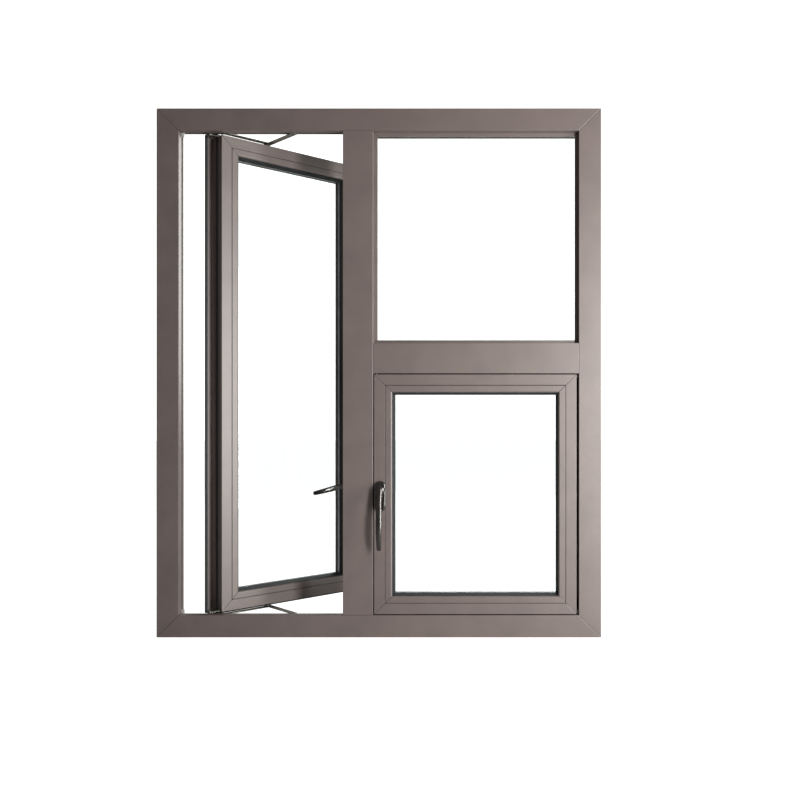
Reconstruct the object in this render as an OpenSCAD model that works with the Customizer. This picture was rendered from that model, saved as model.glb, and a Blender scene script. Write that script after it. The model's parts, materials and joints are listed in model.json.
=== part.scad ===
// Aluminium window unit: outer frame with a mullion and a transom, one fixed light, a tall casement
// standing open on its friction stays and a low casement that is closed. Both casements open outwards
// and are worked by lever handles. Millimetres, +Z up. The room is on the -Y side.
// The origin is the middle of the frame's bottom face.
//
// Two measures are used all through:
//   a  = distance inwards from the outer edge of a frame member (the opening starts at a = frame_face)
//   d  = distance inwards from the outer edge of a sash
// and y is the depth behind the frame's inside face. A casement is drawn shut, with s running from the
// hinge side of its opening towards the lock side, and is then turned to its pose.

/* [Frame] */
// Width of the outer frame
frame_w = 1000; // [900:10:1400]
// Height of the outer frame
frame_h = 1190; // [1000:10:1500]
// Face width of the head, sill and jambs
frame_face = 50; // [48:1:60]
// Depth of the frame from inside face to outside face
frame_depth = 50; // [50:1:60]
// Face width of the mullion and the transom
bar_face = 68; // [64:1:84]
// Distance from the left side of the frame to the centre line of the mullion
mullion_place = 453; // [440:1:560]
// Height of the centre line of the transom above the bottom of the frame
transom_place = 628; // [500:1:700]
// Wall thickness of the extrusions
wall = 1.8; // [1.4:0.1:2]
// Depth of the inner leg that faces the room
leg_depth = 17; // [15:0.5:18]
// Depth of the outer lip that the casement closes against
lip_depth = 6; // [4:0.5:7]

/* [Sash] */
// Gap between the opening and the hinge edge of the casement
hinge_gap = 5.5; // [5:0.5:7]
// Gap between the opening and the lock edge of the casement
lock_gap = 2.5; // [2.5:0.5:4]
// Gap between the opening and the top and bottom edges of the casement
end_gap = 2.5; // [2.5:0.5:4]
// Face width of the sash bar up to the glazing bead
sash_face = 24; // [22.5:0.5:29]
// Flat width of the glazing bead
bead_flat = 13.5; // [12:0.1:16]
// Width of the sloped edge of the glazing bead
bead_slope = 2; // [1.5:0.5:4]
// Width of the wedge gasket that shows between the bead and the glass
gasket_sight = 5.5; // [4:0.5:7]
// How far the outer leg stops short of the gasket's edge
leg_back = 4; // [3:0.5:6]
// How far the outer flange reaches past the edge of the sash
flange_reach = 16.5; // [14.5:0.5:17]
// Thickness of the outer flange
flange_t = 3.5; // [3:0.5:4]
// Gap between the frame's outside face and the flange
flange_gap = 4.5; // [4.5:0.1:5]

/* [Glass] */
// Thickness of one pane
pane_t = 5; // [4:0.5:6]
// Width of the cavity between the panes
cavity_t = 9; // [6:0.5:9]
// Thickness of a glazing gasket
gasket_t = 2.5; // [2:0.1:3]
// Distance that a glass unit stands off the bottom of its rebate
glass_rest = 6; // [5:0.5:7]
// Sight width of the fixed light's bead beyond the frame's inner leg
fixed_sight = 8; // [6:0.5:10]

/* [Friction stays] */
// Strut length of the tall casement's stays, pivot to pivot
left_strut = 130; // [110:1:150]
// Strut length of the low casement's stays, pivot to pivot
right_strut = 160; // [140:1:180]
// Distance along the strut between its sash pivot and its brace pivot
brace_offset = 20; // [20:1:30]
// Angle at which the tall casement stands open
left_open = 42; // [0:1:60]
// Angle at which the low casement stands open
right_open = 0; // [0:1:60]
// Width of the stay arms
arm_w = 13; // [11:0.5:13.5]
// Radius of the pivot pins
pivot_r = 3; // [2.5:0.1:3.5]
// Radial clearance of the pivot pins in their arms
pivot_clear = 0.05; // [0.03:0.01:0.09]

/* [Lock and handle] */
// Height of the handle spindles above the bottom of the frame
spindle_z = 332; // [300:1:360]
// Distance of the spindle from the lock edge of the sash
spindle_in = 15; // [15:0.1:16]
// Turn of the left handle from pointing down
left_turn = 80; // [0:1:90]
// Turn of the right handle from pointing down
right_turn = 0; // [0:1:90]
// Radius of the handle spindle
spindle_r = 5; // [4.5:0.1:5]
// Length of the lever from its spindle to its tip
lever_reach = 132; // [110:1:140]
// Projection of the lever from the sash face
lever_stand = 36; // [34:1:37]
// Number of teeth a full drive pinion would have
pinion_teeth = 18; // [16:1:18]
// Module of the drive pinion and its rack
tooth_module = 1.25; // [1:0.05:1.25]
// Gap between a locking pin and the keep's retaining wall with the handle down
keep_gap = 1; // [0.5:0.1:2]

/* [Fixings] */
// Radius of the wall fixing holes through the jambs
fixing_r = 4; // [3:0.1:5]
// Distance between neighbouring wall fixing holes
fixing_pitch = 450; // [350:10:480]

/* [Hidden] */
$fn = 48;
eps = 0.01;
mitre_gap = 0.3;
cut_over = 400;

// Colours
bronze = [0.38, 0.34, 0.33];
black_plastic = [0.08, 0.08, 0.08];
rubber_black = [0.05, 0.05, 0.05];
glass_tint = [0.75, 0.85, 0.85, 0.35];
steel = [0.62, 0.61, 0.57];
cast_grey = [0.5, 0.5, 0.5];
handle_dark = [0.16, 0.15, 0.16];

// Frame section, as values of a and y
web_a = frame_face - 16;
lip_a = frame_face - 8;
lip_y = frame_depth - lip_depth;
foot_w = 6;
foot_h = 3;
strip_t = 2.4;
outer_shell_t = 12;
break_y0 = leg_depth + foot_h;
break_y1 = frame_depth - outer_shell_t - foot_h;
half_w = frame_w / 2;
mullion_x = mullion_place - half_w;
half_bar = bar_face / 2;
bar_web = half_bar - (frame_face - web_a);
bar_lip = half_bar - (frame_face - lip_a);

// The three lights, each as [x0, x1, z0, z1] of its opening
left_light = [-half_w + frame_face, mullion_x - half_bar, frame_face, frame_h - frame_face];
right_light = [mullion_x + half_bar, half_w - frame_face, frame_face, transom_place - half_bar];
upper_light = [mullion_x + half_bar, half_w - frame_face, transom_place + half_bar, frame_h - frame_face];

// Glass and beads
unit_t = 2 * pane_t + cavity_t;
bead_joint = 0.8;
bead_d = sash_face + bead_joint;
bead_edge = bead_d + bead_flat;
bead_sight = bead_edge + bead_slope;
sight_d = bead_sight + gasket_sight;
leg_sight = sight_d - leg_back;
bead_sink = 0.4;
slope_depth = 2.4;
wedge_depth = 4;
wedge_top = 1;
bead_wall = 1.5;
glass_d = sash_face + glass_rest;
outer_leg_y = frame_depth - outer_shell_t + 2;
sash_glass_y = outer_leg_y - gasket_t - unit_t;
bead_back = sash_glass_y - gasket_t;
spacer_w = 12;
spacer_in = 1;
gasket_w = 6;
fixed_outer_gasket = 3;
fixed_glass_y = lip_y - fixed_outer_gasket - unit_t;
fixed_edge = -10;
fixed_stop_sight = 2;

// Sash section, as values of d and y
sash_inner_t = 16;
sash_foot_h = 4;
flange_y = frame_depth + flange_gap;
sash_depth = flange_y + flange_t;
chamfer = 12;
relief_a = lip_a + 1;
seal_t = 3.9;
hinge_seal_t = 2.5;
seal_w = 4;

// Friction stays, as values of a for each layer
track_w = 19;
track_y = lip_y - 11;
track_base = [web_a, web_a + 1.5];
track_lip = [web_a + 5.3, web_a + 6.5];
track_wall = 1.5;
track_lip_w = 2;
slide_play = 0.3;
slider_block = [web_a + 1.8, web_a + 5];
slider_neck_top = lip_a + 0.4;
brace_layer = [lip_a + 0.8, lip_a + 2.7];
strut_layer = [lip_a + 3.1, lip_a + 5];
bar_layer = [lip_a + 6.3, lip_a + 8.3];
sash_edge_a = frame_face + end_gap;
head_t = 0.6;
head_gap = 0.2;
boss_r = 5;
pivot_s = -9;
shoe_back = 6;
shoe_front = 10;
slider_half = 8;
track_tail = 24;
bar_tail = 32;
standoff_r = 4.5;
near_standoff = 12;
tail_standoff = 6;
cap_w = 10.5;
cap_clear = 0.5;
cap_leg_gap = 1.5;
cap_drop = 8;
cap_track_gap = 0.2;

// Drive, lock rod and keeps
tip_h = 1.1;
root_h = 1.35;
flank_gap = 0.2;
pitch_r = pinion_teeth * tooth_module / 2;
tooth_pitch = PI * tooth_module;
tooth_angle = 360 / pinion_teeth;
first_tooth = -tooth_angle / 4;
first_space = first_tooth * PI / 180 * pitch_r;
sector_teeth = ceil(90 / tooth_angle) + 1;
root_r = pitch_r - root_h;
flank = tan(20);
rod_travel = pitch_r * PI / 2;
guide_seat_in = 0.3;
guide_seat_out = 1.3;
guide_y = [sash_inner_t + sash_foot_h - guide_seat_in,
    frame_depth - outer_shell_t - foot_h + guide_seat_out];
guide_gap = 0.3;
guide_t = 0.9;
guide_lip = 1.5;
rod_y = (guide_y[0] + guide_y[1]) / 2;
rod_w = guide_y[1] - guide_y[0] - 2 * guide_gap;
rod_in = 0.6;
rod_t = 2;
pin_r = 5;
pin_lip_gap = 1.5;
pin_end_d = frame_face + lock_gap - lip_a - pin_lip_gap;
rod_margin = 60;
rack_w = 8;
rack_low = 7;
rack_high = rod_travel + 7;
rack_slot_gap = 2;
pin_inset = 40;
middle_pin_up = 60;
keep_t = 2.5;
keep_wall_t = 4.3;
keep_wall_h = 14;
keep_base_h = 46;
keep_pin_gap = 0.7;
keep_rod_gap = 2;
keep_base_side = 2;
keep_bearing = 3;
casing_t = 1.2;
casing_half_h = 24;
casing_play = 0.3;
casing_block_h = 5;
casing_block_in = 4.5;
pinion_gap = 0.4;
journal_r = spindle_r - 1;
pinion_hub_wall = 0.3;
pinion_hub_r = journal_r + pinion_hub_wall;

// Handle
base_w = 24;
base_h = 68;
base_t = 9;
base_top = 20;
hub_r = 8;
hub_gap = 0.4;
lever_w = 13;
lever_t = 8;
lever_seat = 12;
neck_out = 14;
neck_top = 10;
grip_top = 26;
tip_taper = 40;
tip_t = 4;
tip_in = 3;
under_neck = 8;
under_grip = 30;

// Corner cleats
cleat_play = 0.4;
frame_cleat_leg = 90;
sash_cleat_leg = 60;

// ---------------------------------------------------------------- building blocks

// Maps section points [a, y] onto one side of the rectangle r
function on_side(side, r, pts) = [for (p = pts)
    side == "top" ? [p[1], r[3] - p[0]] :
    side == "bottom" ? [p[1], r[2] + p[0]] :
    side == "left" ? [r[0] + p[0], p[1]] : [r[1] - p[0], p[1]]];

function box_points(a0, a1, y0, y1) = [[a0, y0], [a1, y0], [a1, y1], [a0, y1]];

// The rectangle r grown by g on every side
function grown(r, g) = [r[0] - g, r[1] + g, r[2] - g, r[3] + g];

// The opening r of a light in its own hinge coordinates
function hinge_rect(r) = [0, r[1] - r[0], r[2], r[3]];

// The outline of the casement in a light, in hinge coordinates
function sash_rect(r) = [hinge_gap, r[1] - r[0] - lock_gap, r[2] + end_gap, r[3] - end_gap];

module along_x(x0, x1) {
    translate([x0, 0, 0]) rotate([90, 0, 90]) linear_extrude(x1 - x0) children();
}

module along_y(y0, y1) {
    translate([0, y1, 0]) rotate([90, 0, 0]) linear_extrude(y1 - y0) children();
}

// A round bar along Y
module round_y(x, z, r, y0, y1) {
    translate([x, y1, z]) rotate([90, 0, 0]) cylinder(r = r, h = y1 - y0);
}

// A round bar along X
module round_x(y, z, r, x0, x1) {
    translate([x0, y, z]) rotate([0, 90, 0]) cylinder(r = r, h = x1 - x0);
}

// The wedge that gives one side of a rectangle its two mitred ends
module mitre(side, r, out, in) {
    g = mitre_gap / 2 * sqrt(2);
    corners =
        side == "top" ? [[r[0] - out + g, r[3] + out], [r[1] + out - g, r[3] + out],
                         [r[1] - in - g, r[3] - in], [r[0] + in + g, r[3] - in]] :
        side == "bottom" ? [[r[0] - out + g, r[2] - out], [r[1] + out - g, r[2] - out],
                            [r[1] - in - g, r[2] + in], [r[0] + in + g, r[2] + in]] :
        side == "left" ? [[r[0] - out, r[2] - out + g], [r[0] - out, r[3] + out - g],
                          [r[0] + in, r[3] - in - g], [r[0] + in, r[2] + in + g]] :
                         [[r[1] + out, r[2] - out + g], [r[1] + out, r[3] + out - g],
                          [r[1] - in, r[3] - in - g], [r[1] - in, r[2] + in + g]];
    along_y(-cut_over, cut_over) polygon(corners);
}

// One mitred member of a rectangle. outline and holes are lists of [a, y] points.
module side_member(side, r, out, in, outline, holes = []) {
    intersection() {
        if (side == "top" || side == "bottom") {
            along_x(r[0] - out, r[1] + out) difference() {
                polygon(on_side(side, r, outline));
                for (h = holes) polygon(on_side(side, r, h));
            }
        } else {
            translate([0, 0, r[2] - out]) linear_extrude(r[3] - r[2] + 2 * out) difference() {
                polygon(on_side(side, r, outline));
                for (h = holes) polygon(on_side(side, r, h));
            }
        }
        mitre(side, r, out, in);
    }
}

// Four mitred members round a rectangle
module ring(r, out, in, outline, holes = []) {
    for (side = ["top", "bottom", "left", "right"]) side_member(side, r, out, in, outline, holes);
}

// Shifts a shape drawn from the frame's inside face so that the origin is half way through the frame
module placed() {
    translate([0, -frame_depth / 2, 0]) children();
}

// Puts a casement drawn in hinge coordinates into its light
module in_light(hand) {
    placed() {
        if (hand == "left") translate([left_light[0], 0, 0]) children();
        else translate([right_light[1], 0, 0]) mirror([1, 0, 0]) children();
    }
}

// Draws a shape made for the bottom of a light at the bottom and, mirrored, at the top
module both_ends(r) {
    translate([0, 0, r[2] - frame_face]) children();
    translate([0, 0, r[3] + frame_face]) mirror([0, 0, 1]) children();
}

function light_of(hand) = hand == "left" ? left_light : right_light;
function open_of(hand) = hand == "left" ? left_open : right_open;
function turn_of(hand) = hand == "left" ? left_turn : right_turn;
function strut_of(hand) = hand == "left" ? left_strut : right_strut;
function brace_of(hand) = strut_of(hand) - brace_offset;
function fixed_pivot(hand) = pivot_s + 2 * strut_of(hand);

// How far a shoe on an arm of length l has run along the track at an opening angle
function shoe_run(l, angle) = 2 * l * (1 - cos(angle));

// Turns a casement from shut to its opening angle
module sash_pose(hand) {
    translate([pivot_s + shoe_run(strut_of(hand), open_of(hand)), track_y, 0])
        rotate([0, 0, open_of(hand)]) translate([-pivot_s, -track_y, 0]) children();
}

module strut_pose(hand) {
    translate([fixed_pivot(hand), track_y, 0])
        rotate([0, 0, -open_of(hand)]) translate([-fixed_pivot(hand), -track_y, 0]) children();
}

module brace_pose(hand) {
    b = brace_of(hand);
    angle = open_of(hand);
    translate([fixed_pivot(hand) - b * cos(angle), track_y + b * sin(angle), 0])
        rotate([0, 0, angle]) translate([b - fixed_pivot(hand), -track_y, 0]) children();
}

// Turns a handle about its spindle
module handle_pose(hand) {
    x = lock_edge(hand) - spindle_in;
    translate([x, 0, spindle_z]) rotate([0, turn_of(hand), 0]) translate([-x, 0, -spindle_z]) children();
}

function lock_edge(hand) = sash_rect(light_of(hand))[1];
function rod_drop(hand) = rod_travel * turn_of(hand) / 90;

// ---------------------------------------------------------------- outer frame

inner_shell = [[0, 0], [frame_face, 0], [frame_face, leg_depth], [web_a, leg_depth],
    [web_a, break_y0], [web_a - foot_w, break_y0], [web_a - foot_w, leg_depth],
    [foot_w, leg_depth], [foot_w, break_y0], [0, break_y0]];
inner_chamber = box_points(wall, frame_face - wall, wall, leg_depth - wall);
outer_y = frame_depth - outer_shell_t;
outer_shell = [[0, frame_depth], [lip_a, frame_depth], [lip_a, lip_y], [web_a, lip_y],
    [web_a, break_y1], [web_a - foot_w, break_y1], [web_a - foot_w, outer_y],
    [foot_w, outer_y], [foot_w, break_y1], [0, break_y1]];
outer_chamber = box_points(wall, web_a - wall, outer_y + wall, frame_depth - wall);
frame_rect = [-half_w, half_w, 0, frame_h];

module frame_member(side) {
    color(bronze) placed() {
        side_member(side, frame_rect, 0, frame_face, inner_shell, [inner_chamber]);
        side_member(side, frame_rect, 0, frame_face, outer_shell, [outer_chamber]);
    }
}

module head() { frame_member("top"); }
module sill() { frame_member("bottom"); }
module left_jamb() { frame_member("left"); }
module right_jamb() { frame_member("right"); }

// Sections of the mullion and transom, symmetric about their centre line, as values of b and y
bar_inner = [[-half_bar, 0], [half_bar, 0], [half_bar, leg_depth], [bar_web, leg_depth],
    [bar_web, break_y0], [bar_web - foot_w, break_y0], [bar_web - foot_w, leg_depth],
    [foot_w - bar_web, leg_depth], [foot_w - bar_web, break_y0], [-bar_web, break_y0],
    [-bar_web, leg_depth], [-half_bar, leg_depth]];
bar_inner_chamber = box_points(wall - half_bar, half_bar - wall, wall, leg_depth - wall);
bar_outer = [[-bar_lip, frame_depth], [bar_lip, frame_depth], [bar_lip, lip_y], [bar_web, lip_y],
    [bar_web, break_y1], [bar_web - foot_w, break_y1], [bar_web - foot_w, outer_y],
    [foot_w - bar_web, outer_y], [foot_w - bar_web, break_y1], [-bar_web, break_y1],
    [-bar_web, lip_y], [-bar_lip, lip_y]];
bar_outer_chamber = box_points(wall - bar_web, bar_web - wall, outer_y + wall, frame_depth - wall);
bar_strips = [box_points(bar_web - strip_t, bar_web, break_y0, break_y1),
    box_points(-bar_web, strip_t - bar_web, break_y0, break_y1)];

function swapped(pts) = [for (p = pts) [p[1], p[0]]];
function shifted(pts, dx, dy) = [for (p = pts) [p[0] + dx, p[1] + dy]];

module hollow(outline, chamber) {
    difference() {
        polygon(outline);
        polygon(chamber);
    }
}

module mullion() {
    color(bronze) placed() translate([mullion_x, 0, 0]) {
        translate([0, 0, frame_face + mitre_gap])
            linear_extrude(frame_h - 2 * (frame_face + mitre_gap)) hollow(bar_inner, bar_inner_chamber);
        translate([0, 0, lip_a + mitre_gap])
            linear_extrude(frame_h - 2 * (lip_a + mitre_gap)) hollow(bar_outer, bar_outer_chamber);
    }
}

module transom() {
    x0 = mullion_x + half_bar + mitre_gap;
    x1 = half_w - frame_face - mitre_gap;
    step = half_bar - bar_lip;
    color(bronze) placed() translate([0, 0, transom_place]) {
        along_x(x0, x1) hollow(swapped(bar_inner), swapped(bar_inner_chamber));
        along_x(x0 - step, x1 + step) hollow(swapped(bar_outer), swapped(bar_outer_chamber));
    }
}

// Heights of the wall fixing holes
fixing_heights = [frame_h / 2 - fixing_pitch, frame_h / 2, frame_h / 2 + fixing_pitch];
fixing_y = (break_y0 + break_y1) / 2;

// Polyamide strips that join the inner and outer shells of the frame, drilled for the wall fixings
module frame_thermal_breaks() {
    color(black_plastic) placed() {
        difference() {
            for (a0 = [0, web_a - strip_t])
                ring(frame_rect, 0, frame_face, box_points(a0, a0 + strip_t, break_y0, break_y1));
            for (z = fixing_heights) round_x(fixing_y, z, fixing_r, -half_w - 1, -half_w + frame_face);
            for (z = fixing_heights) round_x(fixing_y, z, fixing_r, half_w - frame_face, half_w + 1);
        }
        for (strip = bar_strips) {
            translate([mullion_x, 0, web_a + mitre_gap])
                linear_extrude(frame_h - 2 * (web_a + mitre_gap)) polygon(strip);
            translate([0, 0, transom_place])
                along_x(mullion_x + bar_web + mitre_gap, half_w - web_a - mitre_gap)
                    polygon(swapped(strip));
        }
    }
}

// An angle that holds a mitred corner together inside the chambers
module cleat(width, leg, y0, y1) {
    near = wall + cleat_play;
    far = width - wall - cleat_play;
    along_y(y0, y1)
        polygon([[near, near], [leg, near], [leg, far], [far, far], [far, leg], [near, leg]]);
}

module cleats(r, width, leg, y0, y1) {
    translate([r[0], 0, r[2]]) cleat(width, leg, y0, y1);
    translate([r[1], 0, r[2]]) mirror([1, 0, 0]) cleat(width, leg, y0, y1);
    translate([r[0], 0, r[3]]) mirror([0, 0, 1]) cleat(width, leg, y0, y1);
    translate([r[1], 0, r[3]]) mirror([1, 0, 0]) mirror([0, 0, 1]) cleat(width, leg, y0, y1);
}

module frame_corner_cleats() {
    near = wall + cleat_play;
    color(cast_grey) placed() cleats(frame_rect, frame_face, frame_cleat_leg, near, leg_depth - near);
}

// Plastic hoods over the drain slots in the outside face of the sill
module weep_covers() {
    hood = [30, 4, 10];
    height = 14;
    inset = 90;
    mouth = [hood[0] - 2 * wall, hood[1] - wall + 1, hood[2] - wall + 1];
    color(black_plastic) placed()
        for (light = [left_light, right_light]) for (x = [light[0] + inset, light[1] - inset])
            translate([x - hood[0] / 2, frame_depth, height - hood[2] / 2]) difference() {
                cube(hood);
                translate([wall, -1, -1]) cube(mouth);
            }
}

// ---------------------------------------------------------------- fixed light

module glass_unit(r, y0) {
    for (y = [y0, y0 + pane_t + cavity_t])
        translate([r[0], y, r[2]]) cube([r[1] - r[0], pane_t, r[3] - r[2]]);
}

module spacer_ring(r, y0) {
    y1 = y0 + pane_t;
    far = spacer_in + spacer_w;
    ring(r, 0, far, box_points(spacer_in, far, y1, y1 + cavity_t));
}

fixed_glass = grown(upper_light, -fixed_edge);

module fixed_light_panes() { color(glass_tint) placed() glass_unit(fixed_glass, fixed_glass_y); }

module fixed_light_spacer() { color(cast_grey) placed() spacer_ring(fixed_glass, fixed_glass_y); }

// Inner glazing bead, held behind the frame's inner leg
module fixed_light_beads() {
    color(bronze) placed() ring(upper_light, -fixed_edge, fixed_sight,
        box_points(fixed_edge, fixed_sight, leg_depth, fixed_glass_y - gasket_t));
}

// Outer glazing stop, clipped to the edge of the frame's outer lip
module fixed_light_outer_stops() {
    color(bronze) placed() ring(upper_light, frame_face - lip_a, fixed_stop_sight,
        box_points(lip_a - frame_face, fixed_stop_sight, lip_y, frame_depth));
}

module fixed_light_gaskets() {
    inset = 0.5;
    near = fixed_sight - inset;
    far = fixed_stop_sight - inset;
    outer_back = fixed_glass_y + unit_t;
    color(rubber_black) placed() {
        ring(upper_light, -fixed_edge, fixed_sight,
            box_points(near - gasket_w, near, fixed_glass_y - gasket_t, fixed_glass_y));
        ring(upper_light, -fixed_edge, fixed_sight, box_points(far - gasket_w, far, outer_back, lip_y));
    }
}

// ---------------------------------------------------------------- casement bars

sash_inner = [[0, 0], [sash_face, 0], [sash_face, sash_inner_t + sash_foot_h],
    [sash_face - foot_w, sash_inner_t + sash_foot_h], [sash_face - foot_w, sash_inner_t],
    [foot_w, sash_inner_t], [foot_w, sash_inner_t + sash_foot_h], [0, sash_inner_t + sash_foot_h]];
sash_inner_chamber = box_points(wall, sash_face - wall, wall, sash_inner_t - wall);
sash_break = [sash_inner_t + sash_foot_h, outer_y - foot_h];
sash_outer = [[0, sash_break[1]], [foot_w, sash_break[1]], [foot_w, outer_y],
    [sash_face - foot_w, outer_y], [sash_face - foot_w, sash_break[1]],
    [sash_face, sash_break[1]], [sash_face, outer_leg_y], [leg_sight, outer_leg_y],
    [leg_sight, sash_depth - chamfer], [leg_sight - chamfer, sash_depth],
    [-flange_reach, sash_depth], [-flange_reach, flange_y], [0, flange_y]];
sash_outer_chamber = [[wall, outer_leg_y + wall], [leg_sight - wall, outer_leg_y + wall],
    [leg_sight - wall, sash_depth - chamfer - wall / 2],
    [leg_sight - chamfer - wall / 2, sash_depth - wall], [wall, sash_depth - wall]];
sash_mitre_out = flange_reach + 1;

// Lips along the lock edge that hold the sliding rod
guide_d = rod_in + rod_t + guide_gap;
guide_inner = [[0, guide_y[0] - guide_t], [-guide_d - guide_t, guide_y[0] - guide_t],
    [-guide_d - guide_t, guide_y[0] + guide_lip], [-guide_d, guide_y[0] + guide_lip],
    [-guide_d, guide_y[0]], [0, guide_y[0]]];
guide_outer = [[0, guide_y[1] + guide_t], [-guide_d - guide_t, guide_y[1] + guide_t],
    [-guide_d - guide_t, guide_y[1] - guide_lip], [-guide_d, guide_y[1] - guide_lip],
    [-guide_d, guide_y[1]], [0, guide_y[1]]];

// Corners cut from what stands at the hinge side beyond depth y0, so that it swings clear of the lip
module hinge_relief(r, y0) {
    for (z = [r[2] - frame_face, r[3] + frame_face - relief_a])
        translate([-cut_over, y0, z]) cube([cut_over + hinge_gap + 1, cut_over, relief_a]);
}

module sash_bar(hand, side) {
    light = light_of(hand);
    r = sash_rect(light);
    difference() {
        union() {
            side_member(side, r, sash_mitre_out, sight_d + 1, sash_inner, [sash_inner_chamber]);
            side_member(side, r, sash_mitre_out, sight_d + 1, sash_outer, [sash_outer_chamber]);
        }
        hinge_relief(light, flange_y - 1);
    }
}

module rail(hand, side) {
    color(bronze) in_light(hand) sash_pose(hand) sash_bar(hand, side);
}

module rod_guides(hand) {
    r = sash_rect(light_of(hand));
    translate([0, 0, r[2] + rod_margin / 2]) linear_extrude(r[3] - r[2] - rod_margin) {
        polygon(on_side("right", r, guide_inner));
        polygon(on_side("right", r, guide_outer));
    }
}

module lock_stile(hand) {
    hole_r = spindle_r + casing_play;
    color(bronze) in_light(hand) sash_pose(hand) {
        difference() {
            union() {
                sash_bar(hand, "right");
                rod_guides(hand);
            }
            round_y(lock_edge(hand) - spindle_in, spindle_z, hole_r, -1, sash_break[0] + 1);
        }
    }
}

module left_top_rail() { rail("left", "top"); }
module left_bottom_rail() { rail("left", "bottom"); }
module left_hinge_stile() { rail("left", "left"); }
module left_lock_stile() { lock_stile("left"); }
module right_top_rail() { rail("right", "top"); }
module right_bottom_rail() { rail("right", "bottom"); }
module right_hinge_stile() { rail("right", "left"); }
module right_lock_stile() { lock_stile("right"); }

// Polyamide strips of a casement, slotted at the lock edge for the rack
module thermal_breaks(hand) {
    r = sash_rect(light_of(hand));
    slot_z0 = spindle_z - rod_travel - rack_low - rack_slot_gap;
    slot_z1 = spindle_z + rack_high + rack_slot_gap;
    color(black_plastic) in_light(hand) sash_pose(hand) difference() {
        for (d0 = [0, sash_face - strip_t])
            ring(r, sash_mitre_out, sight_d,
                box_points(d0, d0 + strip_t, sash_break[0], sash_break[1]));
        translate([r[1] - strip_t - 1, rod_y - rack_w / 2 - 1, slot_z0])
            cube([strip_t + 2, rack_w + 2, slot_z1 - slot_z0]);
    }
}

module left_thermal_breaks() { thermal_breaks("left"); }
module right_thermal_breaks() { thermal_breaks("right"); }

module sash_cleats(hand) {
    near = wall + cleat_play;
    color(cast_grey) in_light(hand) sash_pose(hand)
        cleats(sash_rect(light_of(hand)), sash_face, sash_cleat_leg, near, sash_inner_t - near);
}

module left_corner_cleats() { sash_cleats("left"); }
module right_corner_cleats() { sash_cleats("right"); }

// ---------------------------------------------------------------- casement glazing

function sash_glass(hand) = grown(sash_rect(light_of(hand)), -glass_d);

module panes(hand) {
    color(glass_tint) in_light(hand) sash_pose(hand) glass_unit(sash_glass(hand), sash_glass_y);
}

module spacer(hand) {
    color(cast_grey) in_light(hand) sash_pose(hand) spacer_ring(sash_glass(hand), sash_glass_y);
}

module left_panes() { panes("left"); }
module right_panes() { panes("right"); }
module left_spacer() { spacer("left"); }
module right_spacer() { spacer("right"); }

bead_outline = [[bead_d, bead_sink], [bead_edge, bead_sink], [bead_sight, slope_depth],
    [bead_sight, bead_back], [bead_d, bead_back]];
bead_chamber = box_points(bead_d + bead_wall, bead_sight - bead_wall - bead_sink,
    slope_depth + bead_wall / 2, bead_back - bead_wall);

module beads(hand) {
    color(bronze) in_light(hand) sash_pose(hand)
        ring(sash_rect(light_of(hand)), 0, sight_d + 1, bead_outline, [bead_chamber]);
}

module left_beads() { beads("left"); }
module right_beads() { beads("right"); }

// The inner gasket is a wedge that slopes from the edge of the bead down to the glass
wedge_gasket = [[bead_sight - gasket_w, bead_back], [bead_sight, bead_back], [bead_sight, wedge_depth],
    [bead_sight + wedge_top, wedge_depth], [sight_d, bead_back], [sight_d, sash_glass_y],
    [bead_sight - gasket_w, sash_glass_y]];

module gaskets(hand) {
    inset = 0.4;
    far = leg_sight - inset;
    outer_back = sash_glass_y + unit_t;
    r = sash_rect(light_of(hand));
    color(rubber_black) in_light(hand) sash_pose(hand) {
        ring(r, 0, sight_d + 1, wedge_gasket);
        ring(r, 0, sight_d, box_points(far - gasket_w, far, outer_back, outer_back + gasket_t));
    }
}

module left_gaskets() { gaskets("left"); }
module right_gaskets() { gaskets("right"); }

// Weather seal on the inner side of the flange. It is thinner at the hinge edge, which swings inwards.
module flange_seals(hand) {
    r = sash_rect(light_of(hand));
    d0 = -flange_reach + 1;
    strip = box_points(d0, d0 + seal_w, flange_y - seal_t, flange_y);
    hinge_strip = box_points(d0, d0 + seal_w, flange_y - hinge_seal_t, flange_y);
    color(rubber_black) in_light(hand) sash_pose(hand) {
        difference() {
            for (side = ["top", "bottom"]) side_member(side, r, sash_mitre_out, 0, strip);
            translate([-cut_over, 0, 0]) cube([cut_over + hinge_gap + 1, cut_over, 4 * cut_over]);
        }
        side_member("right", r, sash_mitre_out, 0, strip);
        difference() {
            side_member("left", r, sash_mitre_out, 0, hinge_strip);
            hinge_relief(light_of(hand), 0);
        }
    }
}

module left_flange_seals() { flange_seals("left"); }
module right_flange_seals() { flange_seals("right"); }

// ---------------------------------------------------------------- friction stays

// A plate between two pivots at s0 and s1 with round ends, filling the layer [a0, a1]
module arm(s0, s1, layer) {
    translate([0, track_y, layer[0]]) linear_extrude(layer[1] - layer[0]) {
        translate([s0, 0]) circle(d = arm_w);
        translate([s1, 0]) circle(d = arm_w);
        translate([s0, -arm_w / 2]) square([s1 - s0, arm_w]);
    }
}

module eye(s, layer) {
    translate([s, track_y, layer[0] - 1])
        cylinder(r = pivot_r + pivot_clear, h = layer[1] - layer[0] + 2);
}

// A shouldered pin standing on a0 that carries the arm in the given layer
module pivot(s, a0, layer) {
    translate([s, track_y, a0]) cylinder(r = boss_r, h = layer[0] - head_gap - a0);
    translate([s, track_y, a0]) cylinder(r = pivot_r, h = layer[1] + head_gap + head_t - a0);
    translate([s, track_y, layer[1] + head_gap]) cylinder(r = boss_r, h = head_t);
}

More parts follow.
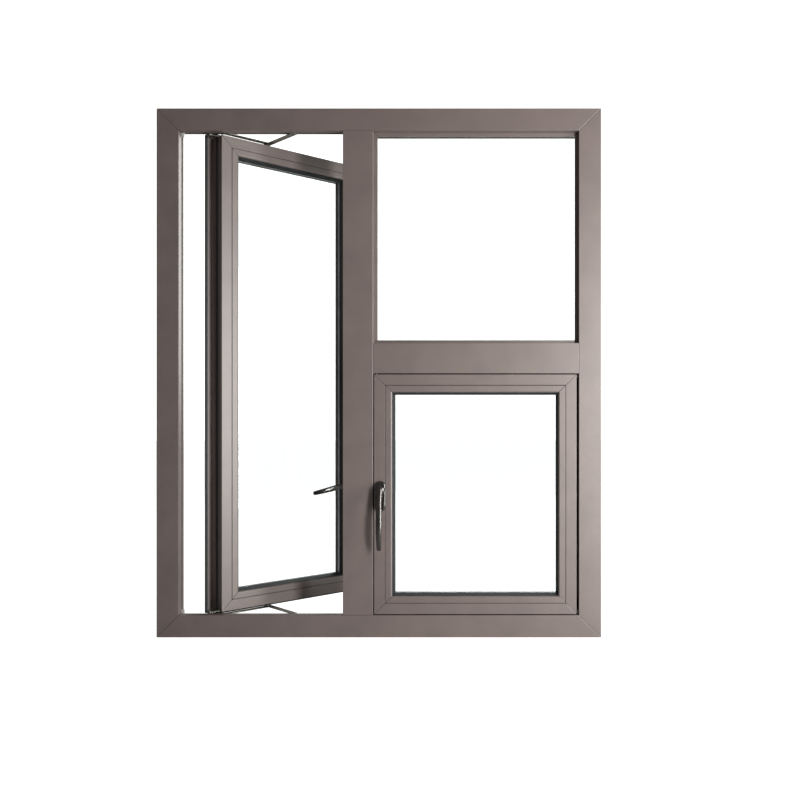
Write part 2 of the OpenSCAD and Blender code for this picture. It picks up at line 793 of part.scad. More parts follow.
module stay_struts(hand) {
    b = fixed_pivot(hand);
    tip = b - strut_of(hand);
    color(steel) in_light(hand) both_ends(light_of(hand)) strut_pose(hand) {
        difference() {
            arm(tip, b, strut_layer);
            eye(b, strut_layer);
            eye(b - brace_of(hand), strut_layer);
        }
        pivot(tip, strut_layer[1] - eps, bar_layer);
    }
}

// The braces lie between the tracks and the struts, and each carries the pin that joins it to its strut
module brace_arms(hand) {
    e = fixed_pivot(hand) - brace_of(hand);
    f = e - brace_of(hand);
    color(steel) in_light(hand) both_ends(light_of(hand)) brace_pose(hand) {
        difference() {
            arm(f, e, brace_layer);
            eye(f, brace_layer);
        }
        pivot(e, brace_layer[1] - eps, strut_layer);
    }
}

// A block that runs in the track, with its neck between the track's lips
module runner(s, back, front) {
    block_w = track_w - 2 * track_wall - 2 * slide_play;
    neck_w = block_w - 2 * track_lip_w;
    translate([s - back, track_y - block_w / 2, slider_block[0]])
        cube([back + front, block_w, slider_block[1] - slider_block[0]]);
    translate([s - back, track_y - neck_w / 2, slider_block[0]])
        cube([back + front, neck_w, slider_neck_top - slider_block[0]]);
}

module stay_shoes(hand) {
    run = shoe_run(strut_of(hand), open_of(hand));
    color(black_plastic) in_light(hand) both_ends(light_of(hand)) translate([run, 0, 0]) {
        runner(pivot_s, shoe_back, shoe_front);
        pivot(pivot_s, slider_neck_top - eps, bar_layer);
    }
}

module friction_sliders(hand) {
    run = shoe_run(brace_of(hand), open_of(hand));
    s = fixed_pivot(hand) - 2 * brace_of(hand);
    color(black_plastic) in_light(hand) both_ends(light_of(hand)) translate([run, 0, 0]) {
        runner(s, slider_half, slider_half);
        pivot(s, slider_neck_top - eps, brace_layer);
    }
}

// Bars screwed to the top and bottom edges of a casement, with the pivots of its shoe and strut
module stay_bars(hand) {
    tip = pivot_s + strut_of(hand);
    color(steel) in_light(hand) sash_pose(hand) both_ends(light_of(hand)) {
        difference() {
            arm(pivot_s, tip + bar_tail, bar_layer);
            eye(pivot_s, bar_layer);
            eye(tip, bar_layer);
        }
        for (s = [hinge_gap + near_standoff, (pivot_s + tip) / 2, tip + bar_tail - tail_standoff])
            translate([s, track_y, bar_layer[1] - eps])
                cylinder(r = standoff_r, h = sash_edge_a - bar_layer[1] + eps);
    }
}

module left_stay_struts() { stay_struts("left"); }
module right_stay_struts() { stay_struts("right"); }
module left_brace_arms() { brace_arms("left"); }
module right_brace_arms() { brace_arms("right"); }
module left_stay_shoes() { stay_shoes("left"); }
module right_stay_shoes() { stay_shoes("right"); }
module left_friction_sliders() { friction_sliders("left"); }
module right_friction_sliders() { friction_sliders("right"); }
module left_stay_bars() { stay_bars("left"); }
module right_stay_bars() { stay_bars("right"); }

// Track screwed to the web, with the fixed pivot of the strut
module stay_track(hand) {
    b = fixed_pivot(hand);
    s0 = pivot_s - shoe_back - slide_play;
    length = b + track_tail - s0;
    lip_w = track_wall + track_lip_w;
    lip_z = track_lip[0] - track_base[0];
    in_light(hand) both_ends(light_of(hand)) {
        translate([s0, track_y - track_w / 2, track_base[0]]) {
            cube([length, track_w, track_base[1] - track_base[0]]);
            for (y = [0, track_w - track_wall])
                translate([0, y, 0]) cube([length, track_wall, track_lip[1] - track_base[0]]);
            for (y = [0, track_w - lip_w])
                translate([0, y, lip_z]) cube([length, lip_w, track_lip[1] - track_lip[0]]);
        }
        pivot(b, track_base[0], strut_layer);
    }
}

module stay_tracks() {
    color(steel) {
        stay_track("left");
        stay_track("right");
    }
}

// Caps at the hinge ends of the tracks that the stay bars come to rest beside
module end_cap(hand) {
    y0 = leg_depth + cap_leg_gap;
    y1 = track_y - track_w / 2 - cap_track_gap;
    in_light(hand) both_ends(light_of(hand)) translate([hinge_gap - cap_clear - cap_w, y0, web_a])
        cube([cap_w, y1 - y0, frame_face + cap_drop - web_a]);
}

module stay_end_caps() {
    color("silver") {
        end_cap("left");
        end_cap("right");
    }
}

// ---------------------------------------------------------------- lock

// Heights of the locking pins above the bottom of a light's opening, handle down
function pin_heights(hand) =
    let (h = light_of(hand)[3] - light_of(hand)[2], low = rod_margin + pin_inset)
    hand == "left" ? [low, h / 2 + middle_pin_up, h - low] : [low, h - low];

// Rack teeth on the lock rod, facing the pinion, in the plane of x and z about the spindle
module rack_teeth() {
    half = tooth_pitch / 4 - flank_gap;
    wide = half + root_h * flank;
    narrow = half - tip_h * flank;
    for (k = [-pinion_teeth : pinion_teeth]) {
        z = first_space + (k + 0.5) * tooth_pitch;
        if (z > -rack_low && z < rack_high)
            polygon([[pitch_r + root_h, z - wide], [pitch_r - tip_h, z - narrow],
                [pitch_r - tip_h, z + narrow], [pitch_r + root_h, z + wide]]);
    }
}

module lock_rod(hand) {
    light = light_of(hand);
    r = sash_rect(light);
    edge = r[1];
    back = pitch_r + root_h - eps;
    color(steel) in_light(hand) sash_pose(hand) translate([0, 0, -rod_drop(hand)]) {
        translate([edge + rod_in, rod_y - rod_w / 2, r[2] + rod_margin])
            cube([rod_t, rod_w, r[3] - r[2] - 2 * rod_margin]);
        for (h = pin_heights(hand))
            round_x(rod_y, light[2] + h, pin_r, edge + rod_in + rod_t - eps, edge + pin_end_d);
        translate([edge - spindle_in, 0, spindle_z]) {
            along_y(rod_y - rack_w / 2, rod_y + rack_w / 2) rack_teeth();
            translate([back, rod_y - rack_w / 2, -rack_low])
                cube([spindle_in + rod_in + eps - back, rack_w, rack_low + rack_high]);
        }
    }
}

module left_lock_rod() { lock_rod("left"); }
module right_lock_rod() { lock_rod("right"); }

// Keeps screwed to the lock side of the opening. The base reaches the outer shell, and the retaining
// wall stands outside the pin's path.
module keep(hand) {
    light = light_of(hand);
    web_s = hinge_rect(light)[1] + frame_face - web_a;
    reach = lock_edge(hand) + rod_in + rod_t + keep_rod_gap;
    wall_y = rod_y + pin_r + keep_pin_gap;
    base_y = rod_y - pin_r - keep_base_side;
    base_end = max(wall_y + keep_wall_t, break_y1 + keep_bearing);
    in_light(hand) for (h = pin_heights(hand)) translate([0, 0, light[2] + h]) {
        translate([web_s - keep_t, base_y, -keep_base_h / 2])
            cube([keep_t, base_end - base_y, keep_base_h]);
        translate([reach, wall_y, pin_r + keep_gap])
            cube([web_s - reach - keep_t + eps, keep_wall_t, keep_wall_h]);
    }
}

module lock_keeps() {
    color(cast_grey) {
        keep("left");
        keep("right");
    }
}

// Gearbox casing between the polyamide strips: two cheeks with the spindle's bearings and two end blocks
module lock_gearbox(hand) {
    edge = lock_edge(hand);
    near = strip_t + casing_play;
    far = sash_face - strip_t - casing_play;
    y0 = sash_break[0] + casing_play;
    y1 = sash_break[1] - casing_play;
    color(cast_grey) in_light(hand) sash_pose(hand) difference() {
        union() {
            for (y = [y0, y1 - casing_t]) translate([edge - far, y, spindle_z - casing_half_h])
                cube([far - near, casing_t, 2 * casing_half_h]);
            for (z = [-casing_half_h, casing_half_h - casing_block_h])
                translate([edge - far, y0, spindle_z + z])
                    cube([far - near - casing_block_in, y1 - y0, casing_block_h]);
        }
        round_y(edge - spindle_in, spindle_z, journal_r + pivot_clear, y0 - 1, y1 + 1);
    }
}

module left_lock_gearbox() { lock_gearbox("left"); }
module right_lock_gearbox() { lock_gearbox("right"); }

// One straight-flanked pinion tooth at an angle measured from +x towards +z
module pinion_tooth(angle) {
    half = tooth_pitch / 4 - flank_gap;
    wide = half + root_h * flank;
    narrow = half - tip_h * flank;
    rotate(angle) polygon([[root_r - 1, -wide], [pitch_r, -half], [pitch_r + tip_h, -narrow],
        [pitch_r + tip_h, narrow], [pitch_r, half], [root_r - 1, wide]]);
}

// Spindle with its toothed sector. The sector covers the quarter turn that the handle makes.
module handle_spindle(hand) {
    x = lock_edge(hand) - spindle_in;
    y0 = sash_break[0] + casing_play;
    y1 = sash_break[1] - casing_play;
    far = 2 * root_r;
    skirt = 0.4 * root_r;
    color(steel) in_light(hand) sash_pose(hand) handle_pose(hand) {
        round_y(x, spindle_z, spindle_r, -base_t - lever_seat, y0 - pinion_gap);
        round_y(x, spindle_z, journal_r, y0 - pinion_gap - eps, y1);
        translate([x, 0, spindle_z]) along_y(y0 + casing_t + pinion_gap, y1 - casing_t - pinion_gap) {
            circle(r = pinion_hub_r);
            intersection() {
                circle(r = root_r);
                polygon([[0, 0], [far, -skirt], [far, far], [-skirt, far]]);
            }
            for (k = [0 : sector_teeth - 1]) pinion_tooth(first_tooth + k * tooth_angle);
        }
    }
}

module left_handle_spindle() { handle_spindle("left"); }
module right_handle_spindle() { handle_spindle("right"); }

// ---------------------------------------------------------------- handle

// Rose plate screwed to the face of the lock stile
module handle_base(hand) {
    x = lock_edge(hand) - spindle_in;
    r = base_w / 2;
    color(handle_dark) in_light(hand) sash_pose(hand) difference() {
        along_y(-base_t, 0) {
            translate([x, spindle_z + base_top - r]) circle(r = r);
            translate([x, spindle_z + base_top - base_h + r]) circle(r = r);
            translate([x - r, spindle_z + base_top - base_h + r]) square([base_w, base_h - base_w]);
        }
        round_y(x, spindle_z, spindle_r + pivot_clear, -base_t - 1, 1);
    }
}

module left_handle_base() { handle_base("left"); }
module right_handle_base() { handle_base("right"); }

// Side view of the lever, as [y, z] from the spindle: a neck that leans out and a grip with a tapered tip
lever_side = [[-base_t - hub_gap, hub_r], [-base_t - neck_out, hub_r],
    [-lever_stand + tip_t, -neck_top], [-lever_stand, -grip_top],
    [-lever_stand, tip_taper - lever_reach], [-lever_stand + tip_in, -lever_reach],
    [-lever_stand + tip_in + tip_t, -lever_reach], [-lever_stand + lever_t, tip_taper - lever_reach],
    [-lever_stand + lever_t, -under_grip], [-base_t - under_neck, -hub_r],
    [-base_t - hub_gap, -hub_r]];

module handle_lever(hand) {
    x = lock_edge(hand) - spindle_in;
    color(handle_dark) in_light(hand) sash_pose(hand) handle_pose(hand) difference() {
        translate([x - lever_w / 2, 0, spindle_z]) along_x(0, lever_w) polygon(lever_side);
        round_y(x, spindle_z, spindle_r, -base_t - lever_seat, 0);
    }
}

module left_handle_lever() { handle_lever("left"); }
module right_handle_lever() { handle_lever("right"); }

// ---------------------------------------------------------------- drawing

head();
sill();
left_jamb();
right_jamb();
mullion();
transom();
frame_thermal_breaks();
frame_corner_cleats();
fixed_light_panes();
fixed_light_spacer();
fixed_light_beads();
fixed_light_outer_stops();
fixed_light_gaskets();
stay_tracks();
stay_end_caps();
lock_keeps();
weep_covers();
left_top_rail();
left_bottom_rail();
left_hinge_stile();
left_lock_stile();
left_thermal_breaks();
left_panes();
left_spacer();
left_beads();
left_gaskets();
left_corner_cleats();
left_flange_seals();
left_stay_bars();
left_lock_gearbox();
left_handle_base();
left_handle_lever();
left_handle_spindle();
left_lock_rod();
left_stay_struts();
left_stay_shoes();
left_brace_arms();
left_friction_sliders();
right_top_rail();
right_bottom_rail();
right_hinge_stile();
right_lock_stile();
right_thermal_breaks();
right_panes();
right_spacer();
right_beads();
right_gaskets();
right_corner_cleats();
right_flange_seals();
right_stay_bars();
right_lock_gearbox();
right_handle_base();
right_handle_lever();
right_handle_spindle();
right_lock_rod();
right_stay_struts();
right_stay_shoes();
right_brace_arms();
right_friction_sliders();
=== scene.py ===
"""Looks for the window unit: materials for every CAD node, refined handles, camera, light and floor."""
import json
import math

import bmesh
import bpy
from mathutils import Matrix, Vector

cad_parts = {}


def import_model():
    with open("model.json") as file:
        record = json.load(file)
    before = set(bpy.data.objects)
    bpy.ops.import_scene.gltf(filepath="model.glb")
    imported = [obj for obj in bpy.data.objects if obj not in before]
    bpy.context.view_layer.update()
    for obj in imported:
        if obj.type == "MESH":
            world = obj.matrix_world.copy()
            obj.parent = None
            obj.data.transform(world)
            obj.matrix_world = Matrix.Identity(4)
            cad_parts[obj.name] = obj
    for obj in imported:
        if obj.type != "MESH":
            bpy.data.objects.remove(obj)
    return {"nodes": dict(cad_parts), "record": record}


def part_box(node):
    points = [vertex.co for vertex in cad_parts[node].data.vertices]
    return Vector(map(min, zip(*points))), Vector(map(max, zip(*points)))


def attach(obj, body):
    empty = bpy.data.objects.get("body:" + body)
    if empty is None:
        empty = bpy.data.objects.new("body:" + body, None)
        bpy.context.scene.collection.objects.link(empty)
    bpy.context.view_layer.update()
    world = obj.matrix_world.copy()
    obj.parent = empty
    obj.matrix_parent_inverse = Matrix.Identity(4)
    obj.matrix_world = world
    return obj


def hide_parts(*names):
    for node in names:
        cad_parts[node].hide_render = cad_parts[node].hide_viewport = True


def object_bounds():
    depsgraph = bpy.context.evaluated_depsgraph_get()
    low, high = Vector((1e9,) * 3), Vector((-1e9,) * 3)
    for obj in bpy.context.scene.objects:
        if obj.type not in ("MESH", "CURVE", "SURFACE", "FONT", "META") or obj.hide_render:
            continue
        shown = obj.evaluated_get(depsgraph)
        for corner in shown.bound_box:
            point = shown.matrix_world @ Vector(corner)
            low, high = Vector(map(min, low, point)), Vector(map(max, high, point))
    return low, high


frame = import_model()
cad_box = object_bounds()
nodes = frame["nodes"]

MM = 0.001

# Camera: the eye's place, how far it stands off the mullion's face, lens and shifts
EYE_X = 0.2725
EYE_STAND = 1.7757
EYE_Z = 0.507
SENSOR_MM = 36.0
LENS_MM = 35.55
SHIFT_X = -0.125
SHIFT_Y = 0.015

# Room, floor and lamps
ROOM_SEEN = 1.6
ROOM_FILL = 0.13
FLOOR_SEEN = 1.1
FLOOR_GLOW = 0.05
KEY_PLACE = (1.18, -1.36, 0.60)
KEY_AIM = (0.0, 0.0, 0.62)
KEY_WIDTH = 0.26
KEY_HEIGHT = 1.15
KEY_POWER = 39.0
LAMP_COLOUR = (0.955, 1.0, 0.97)
SIDE_PLACE = (1.55, -0.66, 0.62)
SIDE_AIM = (-0.38, 0.05, 0.6)
SIDE_POWER = 18.0
BACK_PLACE = (0.35, 2.9, 1.5)
BACK_AIM = (0.0, 0.0, 0.6)
BACK_SIZE = 1.8
BACK_POWER = 60.0

# Glass: reflection seen square on and at a grazing angle, and how late it rises between them
GLASS_SQUARE = 0.025
GLASS_GRAZING = 0.9
GLASS_RISE = 5.0


# ---------------------------------------------------------------- shader helpers

def new_material(name):
    """An empty node material with its output and a Principled shader."""
    mat = bpy.data.materials.new(name)
    mat.use_nodes = True
    tree = mat.node_tree
    tree.nodes.clear()
    out = tree.nodes.new("ShaderNodeOutputMaterial")
    shader = tree.nodes.new("ShaderNodeBsdfPrincipled")
    tree.links.new(shader.outputs[0], out.inputs[0])
    return mat, tree, shader


def object_coords(tree, stretch=(1, 1, 1)):
    """Coordinates in metres in the row frame, stretched along the axes."""
    coords = tree.nodes.new("ShaderNodeTexCoord")
    mapping = tree.nodes.new("ShaderNodeMapping")
    mapping.inputs["Scale"].default_value = stretch
    tree.links.new(coords.outputs["Object"], mapping.inputs["Vector"])
    return mapping.outputs["Vector"]


def noise(tree, vector, size, detail=2.0, rough=0.5):
    """Noise whose features are about size metres across."""
    node = tree.nodes.new("ShaderNodeTexNoise")
    node.inputs["Scale"].default_value = 1 / size
    node.inputs["Detail"].default_value = detail
    node.inputs["Roughness"].default_value = rough
    tree.links.new(vector, node.inputs["Vector"])
    return node.outputs["Fac"]


def ramp(tree, value, low, high, start=0.3, end=0.7):
    """Colours from low to high as value goes from start to end."""
    node = tree.nodes.new("ShaderNodeValToRGB")
    node.color_ramp.elements[0].position = start
    node.color_ramp.elements[1].position = end
    node.color_ramp.elements[0].color = (*low, 1)
    node.color_ramp.elements[1].color = (*high, 1)
    tree.links.new(value, node.inputs["Fac"])
    return node.outputs["Color"]


def spread(tree, value, low, high):
    """Maps a 0 to 1 value onto low to high."""
    node = tree.nodes.new("ShaderNodeMapRange")
    node.inputs["To Min"].default_value = low
    node.inputs["To Max"].default_value = high
    tree.links.new(value, node.inputs["Value"])
    return node.outputs["Result"]


def bump(tree, shader, value, height, strength=1.0):
    """A bump of that height in metres under the shader."""
    node = tree.nodes.new("ShaderNodeBump")
    node.inputs["Distance"].default_value = height
    node.inputs["Strength"].default_value = strength
    tree.links.new(value, node.inputs["Height"])
    tree.links.new(node.outputs["Normal"], shader.inputs["Normal"])


def shade(colour, factor):
    return tuple(c * factor for c in colour)


# ---------------------------------------------------------------- materials

def bronze_paint():
    """Fine-textured satin powder coat in a grey bronze."""
    mat, tree, shader = new_material("bronze_paint")
    base = (0.146, 0.107, 0.100)
    grain = noise(tree, object_coords(tree), 0.9 * MM, 3.0)
    cloud = noise(tree, object_coords(tree), 60 * MM, 2.0)
    tree.links.new(ramp(tree, cloud, shade(base, 0.93), shade(base, 1.07)), shader.inputs["Base Color"])
    tree.links.new(spread(tree, grain, 0.40, 0.51), shader.inputs["Roughness"])
    shader.inputs["Metallic"].default_value = 0.1
    shader.inputs["Specular IOR Level"].default_value = 1.0
    bump(tree, shader, grain, 0.03 * MM, 0.6)
    return mat


def glass():
    """Clear float glass: a faintly green view through it, and a reflection that grows at grazing angles."""
    mat, tree, shader = new_material("glass")
    tree.nodes.remove(shader)
    out = tree.nodes["Material Output"]
    clear = tree.nodes.new("ShaderNodeBsdfTransparent")
    clear.inputs["Color"].default_value = (0.985, 0.995, 0.99, 1)
    gloss = tree.nodes.new("ShaderNodeBsdfGlossy")
    gloss.inputs["Roughness"].default_value = 0.02
    weight = tree.nodes.new("ShaderNodeLayerWeight")
    weight.inputs["Blend"].default_value = 0.5
    steep = tree.nodes.new("ShaderNodeMath")
    steep.operation = "POWER"
    steep.inputs[1].default_value = GLASS_RISE
    tree.links.new(weight.outputs["Facing"], steep.inputs[0])
    mix = tree.nodes.new("ShaderNodeMixShader")
    tree.links.new(spread(tree, steep.outputs[0], GLASS_SQUARE, GLASS_GRAZING), mix.inputs[0])
    tree.links.new(clear.outputs[0], mix.inputs[1])
    tree.links.new(gloss.outputs[0], mix.inputs[2])
    tree.links.new(mix.outputs[0], out.inputs[0])
    return mat


def plastic(name, base, grain_size, rough, height):
    """A moulded or extruded plastic or rubber with a fine grain."""
    mat, tree, shader = new_material(name)
    grain = noise(tree, object_coords(tree), grain_size, 3.0)
    tree.links.new(ramp(tree, grain, shade(base, 0.85), shade(base, 1.15)), shader.inputs["Base Color"])
    tree.links.new(spread(tree, grain, rough - 0.06, rough + 0.06), shader.inputs["Roughness"])
    bump(tree, shader, grain, height, 0.5)
    return mat


def metal(name, base, rough, stretch, grain_size=0.6 * MM, height=0.01 * MM):
    """A bare metal with a drawn or brushed grain."""
    mat, tree, shader = new_material(name)
    grain = noise(tree, object_coords(tree, stretch), grain_size, 4.0, 0.6)
    stain = noise(tree, object_coords(tree), 25 * MM, 3.0)
    tree.links.new(ramp(tree, stain, shade(base, 0.82), shade(base, 1.12)), shader.inputs["Base Color"])
    tree.links.new(spread(tree, grain, rough - 0.1, rough + 0.1), shader.inputs["Roughness"])
    shader.inputs["Metallic"].default_value = 1.0
    bump(tree, shader, grain, height, 0.5)
    return mat


def rubber_seal():
    return plastic("rubber_seal", (0.012, 0.012, 0.013), 0.8 * MM, 0.62, 0.02 * MM)


def polyamide():
    return plastic("polyamide", (0.02, 0.02, 0.021), 1.2 * MM, 0.55, 0.02 * MM)


def stay_plastic():
    return plastic("stay_plastic", (0.05, 0.05, 0.052), 0.7 * MM, 0.45, 0.02 * MM)


def cap_grey():
    return plastic("cap_grey", (0.42, 0.41, 0.38), 1.0 * MM, 0.5, 0.03 * MM)


def mill_aluminium():
    return metal("mill_aluminium", (0.62, 0.62, 0.63), 0.38, (1, 1, 0.1))


def zinc_casting():
    return metal("zinc_casting", (0.42, 0.42, 0.43), 0.5, (1, 1, 1), 1.5 * MM, 0.05 * MM)


def stay_steel():
    return metal("stay_steel", (0.40, 0.37, 0.32), 0.34, (0.08, 1, 1))


def handle_dark():
    """Dark lacquered metal with a soft gloss."""
    mat, tree, shader = new_material("handle_dark")
    base = (0.045, 0.036, 0.034)
    grain = noise(tree, object_coords(tree), 1.5 * MM, 3.0)
    tree.links.new(ramp(tree, grain, shade(base, 0.85), shade(base, 1.15)), shader.inputs["Base Color"])
    tree.links.new(spread(tree, grain, 0.22, 0.30), shader.inputs["Roughness"])
    shader.inputs["Metallic"].default_value = 0.7
    shader.inputs["Coat Weight"].default_value = 1.0
    shader.inputs["Coat Roughness"].default_value = 0.12
    bump(tree, shader, grain, 0.02 * MM, 0.4)
    return mat


MAKERS = (bronze_paint, glass, rubber_seal, polyamide, stay_plastic, cap_grey, mill_aluminium,
          zinc_casting, stay_steel, handle_dark)
materials = {make.__name__: make() for make in MAKERS}
slot_of = {part["node"]: part["material_slot"] for part in frame["record"]["subparts"]}


def dress(obj, slot):
    obj.data.materials.clear()
    obj.data.materials.append(materials[slot])


for name, obj in nodes.items():
    dress(obj, slot_of[name])


# ---------------------------------------------------------------- softened edges of the extrusions

EDGE_RADIUS = {
    "bronze_paint": 0.8 * MM,
    "stay_steel": 0.25 * MM,
    "cap_grey": 0.8 * MM,
    "stay_plastic": 0.4 * MM,
}


def soften(obj, radius):
    """Rounds the sharp edges of a CAD node without touching its own vertices."""
    weld = obj.modifiers.new("weld", "WELD")
    weld.merge_threshold = 0.001 * MM
    bevel = obj.modifiers.new("bevel", "BEVEL")
    bevel.width = radius
    bevel.segments = 2
    bevel.limit_method = "ANGLE"
    bevel.angle_limit = math.radians(40)
    bevel.use_clamp_overlap = True
    bevel.harden_normals = False


for name, obj in nodes.items():
    if slot_of[name] in EDGE_RADIUS:
        soften(obj, EDGE_RADIUS[slot_of[name]])


# ---------------------------------------------------------------- handles

RING = 24


def joint_named(name):
    return next(j for j in frame["record"]["behaviour"]["joints"] if j["name"] == name)


def handle_axes(hand):
    """The spindle's point on the rose's front, the way outdoors, and the lever's way and reach."""
    joint = joint_named(hand + "_handle_turn")
    pivot = Vector(joint["pos_m"])
    out = Vector(joint["axis"]).normalized()
    if out.y < 0:
        out = -out
    points = [v.co - pivot for v in nodes[hand + "_handle_lever"].data.vertices]
    flat = [p - p.dot(out) * out for p in points]
    reach = max(v.length for v in flat)
    tip = [v for v in flat if v.length > reach - 1 * MM]
    way = sum(tip, Vector()) / len(tip)
    return pivot, out, way.normalized(), way.length


def depths(name, pivot, out):
    """How far a node reaches on each side of the pivot, along the way out."""
    along = [(v.co - pivot).dot(out) for v in nodes[name].data.vertices]
    return min(along), max(along)


def mesh_piece(name, rings, slot):
    """A smooth closed skin over rings that all have the same number of points."""
    bm = bmesh.new()
    rows = [[bm.verts.new(p) for p in ring] for ring in rings]
    count = len(rows[0])
    for lower, upper in zip(rows, rows[1:]):
        for k in range(count):
            bm.faces.new((lower[k], lower[(k + 1) % count], upper[(k + 1) % count], upper[k]))
    bm.faces.new(list(reversed(rows[0])))
    bm.faces.new(rows[-1])
    bmesh.ops.recalc_face_normals(bm, faces=bm.faces)
    mesh = bpy.data.meshes.new(name)
    bm.to_mesh(mesh)
    bm.free()
    for face in mesh.polygons:
        face.use_smooth = len(face.vertices) == 4
    obj = bpy.data.objects.new(name, mesh)
    bpy.context.scene.collection.objects.link(obj)
    dress(obj, slot)
    return obj


def oval(centre, across, through, half_w, half_t, power=2.6):
    """A superellipse of RING points round a centre."""
    points = []
    for k in range(RING):
        angle = 2 * math.pi * k / RING
        c, s = math.cos(angle), math.sin(angle)
        u = math.copysign(abs(c) ** (2 / power), c) * half_w
        v = math.copysign(abs(s) ** (2 / power), s) * half_t
        points.append(centre + across * u + through * v)
    return points


def blend_curve(values, t):
    """Smooth interpolation through evenly spaced values."""
    span = t * (len(values) - 1)
    k = min(int(span), len(values) - 2)
    f = span - k
    before = values[max(k - 1, 0)]
    after = values[min(k + 2, len(values) - 1)]
    a, b = values[k], values[k + 1]
    square = 2 * before - 5 * a + 4 * b - after
    cube = 3 * (a - b) + after - before
    return a + 0.5 * f * (b - before + f * (square + f * cube))


def lever(hand):
    """The lever: a neck that leans out of the rose and a grip that swells and then tapers to its tip."""
    pivot, out, way, reach = handle_axes(hand)
    across = out.cross(way)
    front, _ = depths(hand + "_handle_lever", pivot, out)
    stand = -front
    # Each stop: distance along the lever, height of its middle over the rose, half width, half thickness
    stops = [
        (-7.5 * MM, 9.0 * MM, 3.0 * MM, 3.0 * MM),
        (-6.5 * MM, 10.0 * MM, 5.4 * MM, 4.6 * MM),
        (0.0, 11.5 * MM, 7.0 * MM, 5.6 * MM),
        (0.09 * reach, stand - 13.0 * MM, 6.0 * MM, 4.6 * MM),
        (0.2 * reach, stand - 9.0 * MM, 5.7 * MM, 4.2 * MM),
        (0.35 * reach, stand - 6.8 * MM, 6.2 * MM, 4.2 * MM),
        (0.5 * reach, stand - 5.0 * MM, 6.5 * MM, 4.2 * MM),
        (0.66 * reach, stand - 4.2 * MM, 6.4 * MM, 4.0 * MM),
        (0.82 * reach, stand - 5.2 * MM, 5.8 * MM, 3.7 * MM),
        (0.95 * reach, stand - 7.6 * MM, 5.1 * MM, 3.2 * MM),
        (0.99 * reach, stand - 8.6 * MM, 4.3 * MM, 2.7 * MM),
        (reach, stand - 8.9 * MM, 2.2 * MM, 1.3 * MM),
    ]
    steps = 60
    rows = []
    for k in range(steps + 1):
        t = k / steps
        along, high, half_w, half_t = (blend_curve([stop[i] for stop in stops], t) for i in range(4))
        rows.append((along, high, half_w, half_t))
    rings = []
    for k, (along, high, half_w, half_t) in enumerate(rows):
        here = Vector((along, high))
        ahead = Vector(rows[min(k + 1, steps)][:2]) - Vector(rows[max(k - 1, 0)][:2])
        ahead.normalize()
        through = way * -ahead.y - out * ahead.x
        rings.append(oval(pivot + way * here.x - out * here.y, across, through, half_w, half_t))
    piece = mesh_piece(hand + "_lever", rings, "handle_dark")
    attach(piece, hand + "_handle")
    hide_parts(hand + "_handle_lever")


def boss(hand):
    """The domed boss that covers the spindle and carries the lever."""
    pivot, out, way, _ = handle_axes(hand)
    across = out.cross(way)
    radius, depth, lift = 11.5 * MM, 10.5 * MM, 0.3 * MM
    circle = 2.0
    skirt = 0.45
    crown = 0.42
    top = 0.3
    rings = [oval(pivot - out * lift, across, way, radius, radius, circle)]
    turns = 8
    for k in range(turns + 1):
        angle = math.pi / 2 * k / turns
        r = radius * (crown + (1 - crown) * math.cos(angle)) if k < turns else radius * top
        high = lift + depth * (skirt + (1 - skirt) * math.sin(angle))
        rings.append(oval(pivot - out * high, across, way, r, r, circle))
    piece = mesh_piece(hand + "_boss", rings, "handle_dark")
    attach(piece, hand + "_handle")


def stadium(centre, across, down, half_w, top, bottom):
    """Points round an upright slot shape, half circles at both ends."""
    points = []
    for k in range(RING + 1):
        angle = math.pi * k / RING
        high = top - half_w + half_w * math.sin(angle)
        points.append(centre + across * half_w * math.cos(angle) - down * high)
    for k in range(RING + 1):
        angle = math.pi * (1 + k / RING)
        low = bottom - half_w - half_w * math.sin(angle)
        points.append(centre + across * half_w * math.cos(angle) + down * low)
    return points


def rose(hand):
    """The rose: an upright plate with round ends and a rounded rim."""
    pivot, out, _, _ = handle_axes(hand)
    name = hand + "_handle_base"
    down = Vector((0, 0, -1))
    across = out.cross(down)
    _, thick = depths(name, pivot, out)
    corners = [v.co - pivot for v in nodes[name].data.vertices]
    top = max(c.z for c in corners)
    bottom = -min(c.z for c in corners)
    half_w = max(abs(c.dot(across)) for c in corners)
    round_r = 3.0 * MM
    rings = [stadium(pivot + out * thick, across, down, half_w, top, bottom)]
    turns = 6
    for k in range(turns + 1):
        angle = math.pi / 2 * k / turns
        inset = round_r * (1 - math.cos(angle))
        lift = round_r * (1 - math.sin(angle))
        rings.append(stadium(pivot + out * lift, across, down, half_w - inset, top - inset, bottom - inset))
    piece = mesh_piece(hand + "_rose", rings, "handle_dark")
    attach(piece, hand + "_casement")
    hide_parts(name)


for hand in ("left", "right"):
    lever(hand)
    boss(hand)
    rose(hand)


# ---------------------------------------------------------------- stage, light and camera

def floor():
    """A large pale floor that the unit stands on."""
    mesh = bpy.data.meshes.new("floor")
    reach = 12.0
    mesh.from_pydata([(-reach, -reach, 0), (reach, -reach, 0), (reach, reach, 0), (-reach, reach, 0)],
                     [], [(0, 1, 2, 3)])
    obj = bpy.data.objects.new("floor", mesh)
    obj.location.z = cad_box[0].z - 0.5 * MM
    bpy.context.scene.collection.objects.link(obj)
    mat, tree, shader = new_material("floor_paint")
    cloud = noise(tree, object_coords(tree), 1.0, 2.0)
    tree.links.new(ramp(tree, cloud, (0.38, 0.38, 0.38), (0.42, 0.42, 0.42)), shader.inputs["Base Color"])
    shader.inputs["Roughness"].default_value = 0.9
    shader.inputs["Emission Color"].default_value = (1, 1, 1, 1)
    path = tree.nodes.new("ShaderNodeLightPath")
    tree.links.new(spread(tree, path.outputs["Is Camera Ray"], FLOOR_GLOW, FLOOR_SEEN),
                   shader.inputs["Emission Strength"])
    obj.data.materials.append(mat)


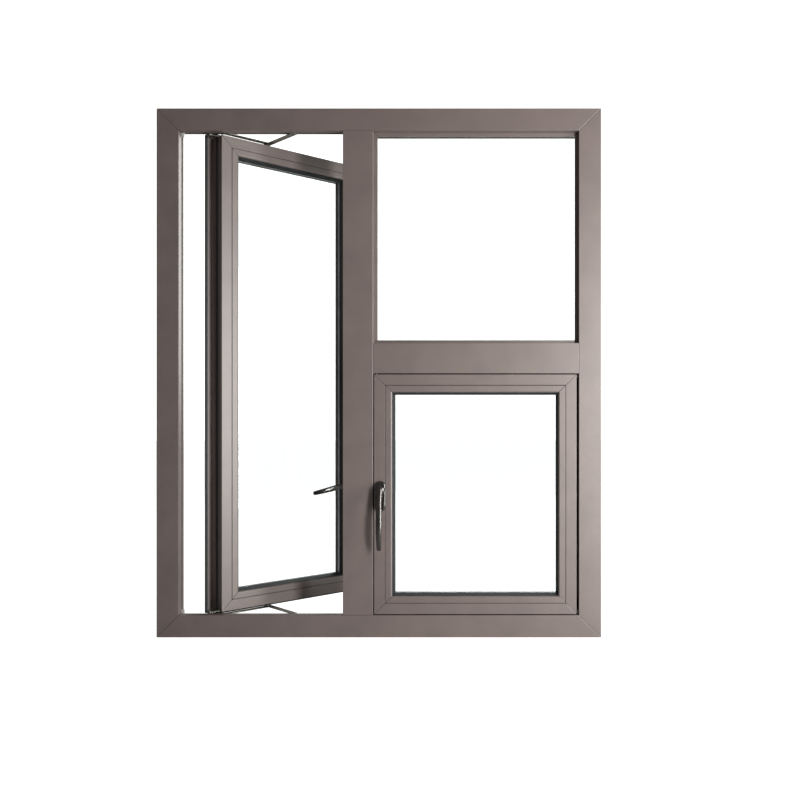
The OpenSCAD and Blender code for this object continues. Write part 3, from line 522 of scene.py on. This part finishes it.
def area_light(name, place, aim, width, height, power):
    data = bpy.data.lights.new(name, "AREA")
    data.shape = "RECTANGLE"
    data.size = width
    data.size_y = height
    data.energy = power
    data.color = LAMP_COLOUR
    obj = bpy.data.objects.new(name, data)
    obj.location = place
    obj.rotation_mode = "QUATERNION"
    obj.rotation_quaternion = (Vector(aim) - Vector(place)).to_track_quat("-Z", "Y")
    bpy.context.scene.collection.objects.link(obj)
    return obj


def world():
    """White to the eye, and a dimmer room for the light that falls on the object."""
    made = bpy.data.worlds.new("studio")
    bpy.context.scene.world = made
    made.use_nodes = True
    tree = made.node_tree
    tree.nodes.clear()
    out = tree.nodes.new("ShaderNodeOutputWorld")
    seen = tree.nodes.new("ShaderNodeBackground")
    seen.inputs["Color"].default_value = (1, 1, 1, 1)
    seen.inputs["Strength"].default_value = ROOM_SEEN
    fill = tree.nodes.new("ShaderNodeBackground")
    fill.inputs["Color"].default_value = (1, 1, 1, 1)
    fill.inputs["Strength"].default_value = ROOM_FILL
    path = tree.nodes.new("ShaderNodeLightPath")
    mix = tree.nodes.new("ShaderNodeMixShader")
    tree.links.new(path.outputs["Is Camera Ray"], mix.inputs[0])
    tree.links.new(fill.outputs[0], mix.inputs[1])
    tree.links.new(seen.outputs[0], mix.inputs[2])
    tree.links.new(mix.outputs[0], out.inputs[0])


def camera():
    """The eye stands off the middle of the unit, level, with the picture plane parallel to the frame."""
    data = bpy.data.cameras.new("camera")
    data.sensor_width = SENSOR_MM
    data.lens = LENS_MM
    data.shift_x = SHIFT_X
    data.shift_y = SHIFT_Y
    data.clip_start = 0.05
    data.clip_end = 100.0
    obj = bpy.data.objects.new("camera", data)
    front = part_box("mullion")[0].y
    obj.location = (EYE_X, front - EYE_STAND, EYE_Z)
    obj.rotation_euler = (math.radians(90), 0, 0)
    bpy.context.scene.collection.objects.link(obj)
    bpy.context.scene.camera = obj


floor()
world()
camera()
area_light("key", KEY_PLACE, KEY_AIM, KEY_WIDTH, KEY_HEIGHT, KEY_POWER)
area_light("side", SIDE_PLACE, SIDE_AIM, KEY_WIDTH, KEY_HEIGHT, SIDE_POWER)
area_light("back", BACK_PLACE, BACK_AIM, BACK_SIZE, BACK_SIZE, BACK_POWER)
scene = bpy.context.scene
scene.view_settings.view_transform = "Standard"
scene.view_settings.look = "None"
